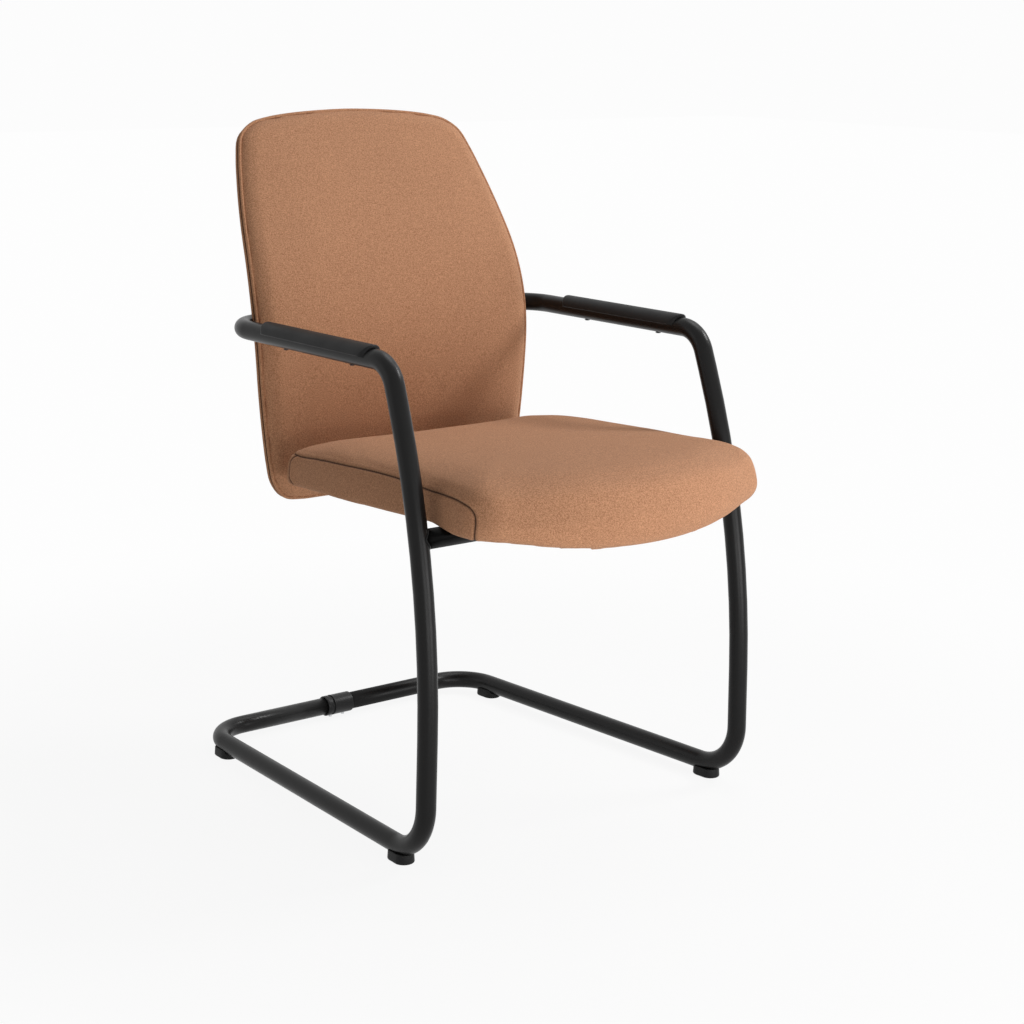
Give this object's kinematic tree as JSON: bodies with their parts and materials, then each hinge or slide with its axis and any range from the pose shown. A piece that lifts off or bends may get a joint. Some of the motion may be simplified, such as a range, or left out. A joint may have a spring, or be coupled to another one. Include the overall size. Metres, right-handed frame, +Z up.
{
  "type": "visitor chair",
  "caption": "Cantilever visitor chair: a looped black tube sled base with arms carries an upholstered tan seat and curved back.",
  "frame": {"origin": "on the floor, under the middle of the chair's overall length and width", "axes": "+Z up, -Y the way the sitter faces, +X to the sitter's left"},
  "size_m": [0.5462, 0.7042, 0.8892],
  "materials": {
    "powder_coat": "satin black powder coat",
    "black_plastic": "fine matt black",
    "tan_fabric": "tightly woven tan upholstery cloth",
    "black_felt": "thin black dust cover",
    "plywood": "bare moulded plywood",
    "zinc_steel": "plain zinc plate"
  },
  "bodies": {
    "root": {"seat_board": "plywood", "seat_underside_cover": "black_felt", "seat_cushion": "tan_fabric", "seat_screw_left_front": "zinc_steel", "seat_tee_nut_left_front": "zinc_steel", "seat_screw_left_rear": "zinc_steel", "seat_tee_nut_left_rear": "zinc_steel", "seat_screw_right_front": "zinc_steel", "seat_tee_nut_right_front": "zinc_steel", "seat_screw_right_rear": "zinc_steel", "seat_tee_nut_right_rear": "zinc_steel", "frame_tube": "powder_coat", "floor_joint_sleeve": "black_plastic", "floor_joint_spigot": "zinc_steel", "sleeve_grub_screw_left": "zinc_steel", "sleeve_grub_screw_right": "zinc_steel", "glide_front_left": "black_plastic", "glide_screw_front_left": "zinc_steel", "glide_rear_left": "black_plastic", "glide_screw_rear_left": "zinc_steel", "glide_front_right": "black_plastic", "glide_screw_front_right": "zinc_steel", "glide_rear_right": "black_plastic", "glide_screw_rear_right": "zinc_steel", "arm_pad_left": "black_plastic", "arm_pad_right": "black_plastic", "arm_pad_screw_left_front": "zinc_steel", "arm_pad_screw_left_rear": "zinc_steel", "arm_pad_screw_right_front": "zinc_steel", "arm_pad_screw_right_rear": "zinc_steel", "seat_cross_tube": "powder_coat", "seat_rail_left": "powder_coat", "seat_rail_right": "powder_coat", "back_bracket_left": "powder_coat", "back_bracket_right": "powder_coat", "back_board": "plywood", "back_outer_panel": "tan_fabric", "back_cushion": "tan_fabric", "back_low_screw_left_lower": "zinc_steel", "back_low_tee_nut_left_lower": "zinc_steel", "back_low_screw_left_upper": "zinc_steel", "back_low_tee_nut_left_upper": "zinc_steel", "back_low_screw_right_lower": "zinc_steel", "back_low_tee_nut_right_lower": "zinc_steel", "back_low_screw_right_upper": "zinc_steel", "back_low_tee_nut_right_upper": "zinc_steel", "back_bracket_screw_left_upper": "zinc_steel", "back_bracket_tee_nut_left_upper": "zinc_steel", "back_bracket_screw_left_lower": "zinc_steel", "back_bracket_tee_nut_left_lower": "zinc_steel", "back_bracket_screw_right_upper": "zinc_steel", "back_bracket_tee_nut_right_upper": "zinc_steel", "back_bracket_screw_right_lower": "zinc_steel", "back_bracket_tee_nut_right_lower": "zinc_steel"}
  },
  "joints": []
}
